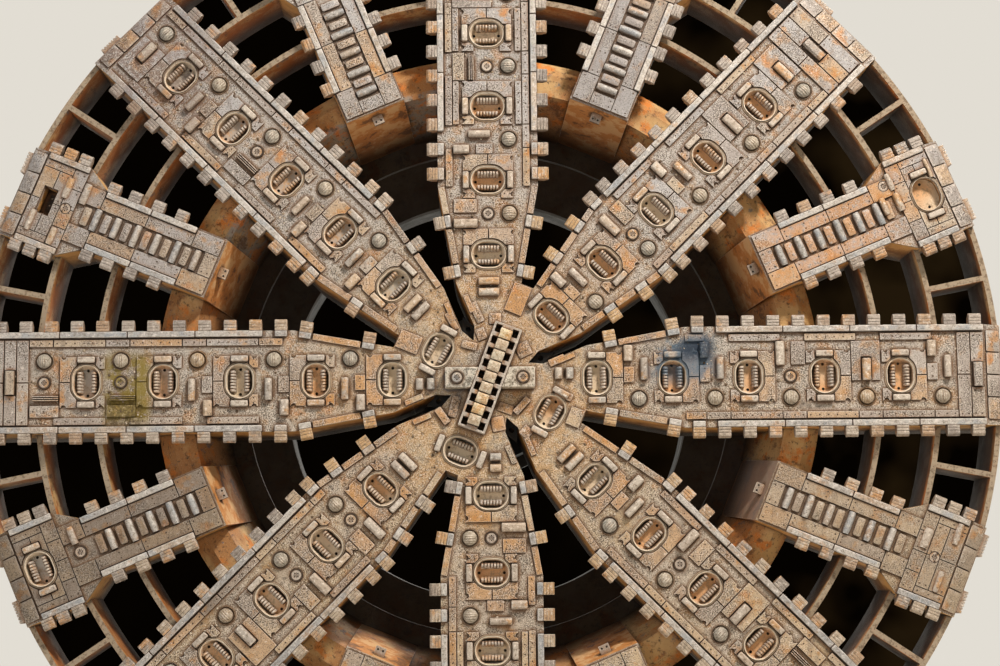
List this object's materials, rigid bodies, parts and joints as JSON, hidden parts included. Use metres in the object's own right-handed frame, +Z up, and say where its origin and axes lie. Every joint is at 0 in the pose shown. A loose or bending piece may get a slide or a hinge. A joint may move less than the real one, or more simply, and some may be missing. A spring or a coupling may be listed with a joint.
{
  "type": "tunnel boring machine cutterhead",
  "caption": "Cutterhead of a large tunnel boring machine: box spokes with oval tool ports, edge scrapers, a support ring and a drum, turning in its main bearing.",
  "frame": {"origin": "centre of the main bearing's bolt circle, on its rear mounting face", "axes": "+Y along the rotation axis, out of the rear mounting face; the cutting face looks towards -Y; +Z up, +X to the right of someone facing the cutting face"},
  "size_m": [17.5168, 5.1329, 17.5168],
  "materials": {
    "face_steel": "abraded wear plate with a thin film of dried mud and rust",
    "tool_steel": "ground by use, pale on the worn edges, rust in the corners",
    "deep_steel": "rusted structural steel with a little blue paint left",
    "bearing_steel": "blue-grey paint over machined and forged steel"
  },
  "bodies": {
    "bearing_housing": {"bearing_housing": "bearing_steel"},
    "cutterhead": {"centre_block": "face_steel", "centre_arms": "face_steel", "centre_plates": "face_steel", "corner_plates": "face_steel", "edge_strips": "face_steel", "gap_plates": "face_steel", "rim_end_plates": "face_steel", "short_face_plates": "face_steel", "main_spoke_1": "face_steel", "main_spoke_2": "face_steel", "main_spoke_3": "face_steel", "main_spoke_4": "face_steel", "main_spoke_5": "face_steel", "main_spoke_6": "face_steel", "main_spoke_7": "face_steel", "main_spoke_8": "face_steel", "short_spoke_1": "face_steel", "short_spoke_2": "face_steel", "short_spoke_3": "face_steel", "short_spoke_4": "face_steel", "short_spoke_5": "face_steel", "short_spoke_6": "face_steel", "short_spoke_7": "face_steel", "short_spoke_8": "face_steel", "main_rails": "tool_steel", "main_scrapers": "tool_steel", "short_rails": "tool_steel", "short_scrapers": "tool_steel", "port_collars": "tool_steel", "port_bars": "tool_steel", "port_side_blocks": "tool_steel", "wear_domes": "tool_steel", "plugs": "tool_steel", "centre_frame": "tool_steel", "centre_cutters": "tool_steel", "short_row_bars": "tool_steel", "wear_bars": "tool_steel", "gauge_blocks": "tool_steel", "end_brackets": "tool_steel", "support_ring": "deep_steel", "back_ring": "deep_steel", "drive_legs": "deep_steel", "drive_flange": "deep_steel", "inner_ring_plates": "deep_steel", "outer_ring_plates": "deep_steel", "rim_plates": "deep_steel", "gap_webs": "deep_steel", "bearing_rotor": "bearing_steel", "hub_column": "bearing_steel", "slot_lugs": "bearing_steel"}
  },
  "joints": [
    {"name": "cutterhead_spin", "type": "hinge", "parent": "bearing_housing", "child": "cutterhead", "pos_m": [0, 0, 0], "axis": [0, -1, 0], "continuous": true}
  ]
}
